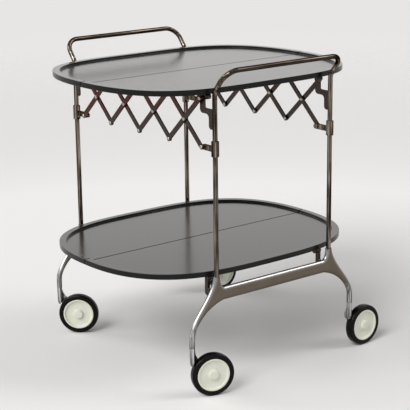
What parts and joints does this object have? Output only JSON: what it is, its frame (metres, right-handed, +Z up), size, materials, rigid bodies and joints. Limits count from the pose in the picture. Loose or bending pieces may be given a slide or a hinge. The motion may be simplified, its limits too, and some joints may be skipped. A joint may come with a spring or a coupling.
{
  "type": "folding serving trolley",
  "caption": "Folding serving trolley: upper and lower trays hinged across the middle, lazy-tongs side links, bent-tube handles, arched cast legs and swivel casters.",
  "frame": {"origin": "on the floor, under the middle of the unfolded trolley", "axes": "+Z up, +X along the folding direction towards the front frame, +Y along the handles"},
  "size_m": [0.6082, 0.64, 0.7],
  "materials": {
    "chrome_steel": "bright chrome plate",
    "dark_steel": "dark nickel plate",
    "cast_aluminium": "polished casting",
    "tray_plastic": "fine matt grain",
    "tyre_rubber": "matt",
    "pale_nylon": "satin"
  },
  "bodies": {
    "rear_frame": {"rear_handle_tube": "chrome_steel", "rear_leg_bridge": "cast_aluminium", "rear_left_tray_bracket": "dark_steel", "rear_right_tray_bracket": "dark_steel"},
    "upper_rear_half": {"upper_rear_tray": "tray_plastic", "upper_rear_hinge_leaf": "dark_steel", "upper_rear_left_strap": "dark_steel", "upper_rear_right_strap": "dark_steel"},
    "upper_front_half": {"upper_front_tray": "tray_plastic", "upper_front_hinge_leaf": "dark_steel", "upper_front_left_strap": "dark_steel", "upper_front_right_strap": "dark_steel"},
    "lower_rear_half": {"lower_rear_tray": "tray_plastic", "lower_rear_hinge_leaf": "dark_steel", "lower_rear_left_strap": "dark_steel", "lower_rear_right_strap": "dark_steel"},
    "lower_front_half": {"lower_front_tray": "tray_plastic", "lower_front_hinge_leaf": "dark_steel", "lower_front_left_strap": "dark_steel", "lower_front_right_strap": "dark_steel"},
    "front_frame": {"front_handle_tube": "chrome_steel", "front_leg_bridge": "cast_aluminium", "front_left_tray_bracket": "dark_steel", "front_right_tray_bracket": "dark_steel"},
    "rear_sliders": {"rear_left_slider": "chrome_steel", "rear_right_slider": "chrome_steel"},
    "front_sliders": {"front_left_slider": "chrome_steel", "front_right_slider": "chrome_steel"},
    "falling_links_1": {"left_falling_link_1": "dark_steel", "right_falling_link_1": "dark_steel"},
    "rising_links_1": {"left_rising_link_1": "dark_steel", "right_rising_link_1": "dark_steel"},
    "falling_links_2": {"left_falling_link_2": "dark_steel", "right_falling_link_2": "dark_steel"},
    "rising_links_2": {"left_rising_link_2": "dark_steel", "right_rising_link_2": "dark_steel"},
    "falling_links_3": {"left_falling_link_3": "dark_steel", "right_falling_link_3": "dark_steel"},
    "rising_links_3": {"left_rising_link_3": "dark_steel", "right_rising_link_3": "dark_steel"},
    "falling_links_4": {"left_falling_link_4": "dark_steel", "right_falling_link_4": "dark_steel"},
    "rising_links_4": {"left_rising_link_4": "dark_steel", "right_rising_link_4": "dark_steel"},
    "front_left_caster": {"front_left_caster_arm": "cast_aluminium", "front_left_wheel_axle": "chrome_steel"},
    "front_left_wheel": {"front_left_wheel_disc": "pale_nylon", "front_left_tyre": "tyre_rubber"},
    "front_right_caster": {"front_right_caster_arm": "cast_aluminium", "front_right_wheel_axle": "chrome_steel"},
    "front_right_wheel": {"front_right_wheel_disc": "pale_nylon", "front_right_tyre": "tyre_rubber"},
    "rear_left_caster": {"rear_left_caster_arm": "cast_aluminium", "rear_left_wheel_axle": "chrome_steel"},
    "rear_left_wheel": {"rear_left_wheel_disc": "pale_nylon", "rear_left_tyre": "tyre_rubber"},
    "rear_right_caster": {"rear_right_caster_arm": "cast_aluminium", "rear_right_wheel_axle": "chrome_steel"},
    "rear_right_wheel": {"rear_right_wheel_disc": "pale_nylon", "rear_right_tyre": "tyre_rubber"}
  },
  "joints": [
    {"name": "tray_fold", "type": "hinge", "parent": "rear_frame", "child": "upper_rear_half", "pos_m": [-0.229, 0, 0.6345], "axis": [0, -1, 0], "range_deg": [0, 73]},
    {"name": "upper_centre_hinge", "type": "hinge", "parent": "upper_rear_half", "child": "upper_front_half", "pos_m": [0, 0, 0.638], "axis": [0, -1, 0], "range_deg": [-146, 0]},
    {"name": "upper_front_hinge", "type": "hinge", "parent": "upper_front_half", "child": "front_frame", "pos_m": [0.229, 0, 0.6345], "axis": [0, -1, 0], "range_deg": [0, 73]},
    {"name": "lower_rear_hinge", "type": "hinge", "parent": "rear_frame", "child": "lower_rear_half", "pos_m": [-0.229, 0, 0.2437], "axis": [0, -1, 0], "range_deg": [0, 73]},
    {"name": "lower_front_hinge", "type": "hinge", "parent": "front_frame", "child": "lower_front_half", "pos_m": [0.229, 0, 0.2437], "axis": [0, -1, 0], "range_deg": [-73, 0]},
    {"name": "rear_slider_slide", "type": "slide", "parent": "rear_frame", "child": "rear_sliders", "axis": [0, 0, -1], "range_m": [0, 0.0455]},
    {"name": "front_slider_slide", "type": "slide", "parent": "front_frame", "child": "front_sliders", "axis": [0, 0, -1], "range_m": [0, 0.0455]},
    {"name": "rear_scissor_pivot", "type": "hinge", "parent": "rear_frame", "child": "falling_links_1", "pos_m": [-0.22, 0, 0.631], "axis": [0, -1, 0], "range_deg": [-36.5, 0]},
    {"name": "scissor_cross_1", "type": "hinge", "parent": "falling_links_1", "child": "rising_links_1", "pos_m": [-0.165, 0, 0.5795], "axis": [0, -1, 0], "range_deg": [0, 73]},
    {"name": "scissor_top_1", "type": "hinge", "parent": "rising_links_1", "child": "falling_links_2", "pos_m": [-0.11, 0, 0.631], "axis": [0, -1, 0], "range_deg": [-73, 0]},
    {"name": "scissor_cross_2", "type": "hinge", "parent": "falling_links_2", "child": "rising_links_2", "pos_m": [-0.055, 0, 0.5795], "axis": [0, -1, 0], "range_deg": [0, 73]},
    {"name": "front_scissor_pivot", "type": "hinge", "parent": "front_frame", "child": "rising_links_4", "pos_m": [0.22, 0, 0.631], "axis": [0, -1, 0], "range_deg": [0, 36.5]},
    {"name": "scissor_cross_4", "type": "hinge", "parent": "rising_links_4", "child": "falling_links_4", "pos_m": [0.165, 0, 0.5795], "axis": [0, -1, 0], "range_deg": [-73, 0]},
    {"name": "scissor_top_3", "type": "hinge", "parent": "falling_links_4", "child": "rising_links_3", "pos_m": [0.11, 0, 0.631], "axis": [0, -1, 0], "range_deg": [0, 73]},
    {"name": "scissor_cross_3", "type": "hinge", "parent": "rising_links_3", "child": "falling_links_3", "pos_m": [0.055, 0, 0.5795], "axis": [0, -1, 0], "range_deg": [-73, 0]},
    {"name": "front_left_swivel", "type": "hinge", "parent": "front_frame", "child": "front_left_caster", "pos_m": [0.261, -0.2274, 0.112], "axis": [0, 0, 1], "continuous": true},
    {"name": "front_left_wheel_spin", "type": "hinge", "parent": "front_left_caster", "child": "front_left_wheel", "pos_m": [0.27515, -0.1851, 0.0475], "axis": [0.9483, -0.3173, 0], "continuous": true},
    {"name": "front_right_swivel", "type": "hinge", "parent": "front_frame", "child": "front_right_caster", "pos_m": [0.261, 0.2274, 0.112], "axis": [0, 0, 1], "continuous": true},
    {"name": "front_right_wheel_spin", "type": "hinge", "parent": "front_right_caster", "child": "front_right_wheel", "pos_m": [0.25976, 0.27198, 0.0475], "axis": [0.9996, 0.0279, 0], "continuous": true},
    {"name": "rear_left_swivel", "type": "hinge", "parent": "rear_frame", "child": "rear_left_caster", "pos_m": [-0.261, -0.2274, 0.112], "axis": [0, 0, 1], "continuous": true},
    {"name": "rear_left_wheel_spin", "type": "hinge", "parent": "rear_left_caster", "child": "rear_left_wheel", "pos_m": [-0.23116, -0.19426, 0.0475], "axis": [0.7431, -0.6691, 0], "continuous": true},
    {"name": "rear_right_swivel", "type": "hinge", "parent": "rear_frame", "child": "rear_right_caster", "pos_m": [-0.261, 0.2274, 0.112], "axis": [0, 0, 1], "continuous": true},
    {"name": "rear_right_wheel_spin", "type": "hinge", "parent": "rear_right_caster", "child": "rear_right_wheel", "pos_m": [-0.26489, 0.27183, 0.0475], "axis": [0.9962, 0.0872, 0], "continuous": true}
  ],
  "couplings": [
    {"joint": "upper_centre_hinge", "follows": "tray_fold", "ratio": -2},
    {"joint": "upper_front_hinge", "follows": "tray_fold", "ratio": 1},
    {"joint": "lower_rear_hinge", "follows": "tray_fold", "ratio": 1},
    {"joint": "lower_front_hinge", "follows": "tray_fold", "ratio": -1},
    {"joint": "rear_slider_slide", "follows": "tray_fold", "m_per_rad": 0.035477},
    {"joint": "front_slider_slide", "follows": "tray_fold", "m_per_rad": 0.035477},
    {"joint": "rear_scissor_pivot", "follows": "tray_fold", "ratio": -0.49923},
    {"joint": "scissor_cross_1", "follows": "tray_fold", "ratio": 0.99846},
    {"joint": "scissor_top_1", "follows": "tray_fold", "ratio": -0.99846},
    {"joint": "scissor_cross_2", "follows": "tray_fold", "ratio": 0.99846},
    {"joint": "front_scissor_pivot", "follows": "tray_fold", "ratio": 0.49923},
    {"joint": "scissor_cross_4", "follows": "tray_fold", "ratio": -0.99846},
    {"joint": "scissor_top_3", "follows": "tray_fold", "ratio": 0.99846},
    {"joint": "scissor_cross_3", "follows": "tray_fold", "ratio": -0.99846}
  ]
}
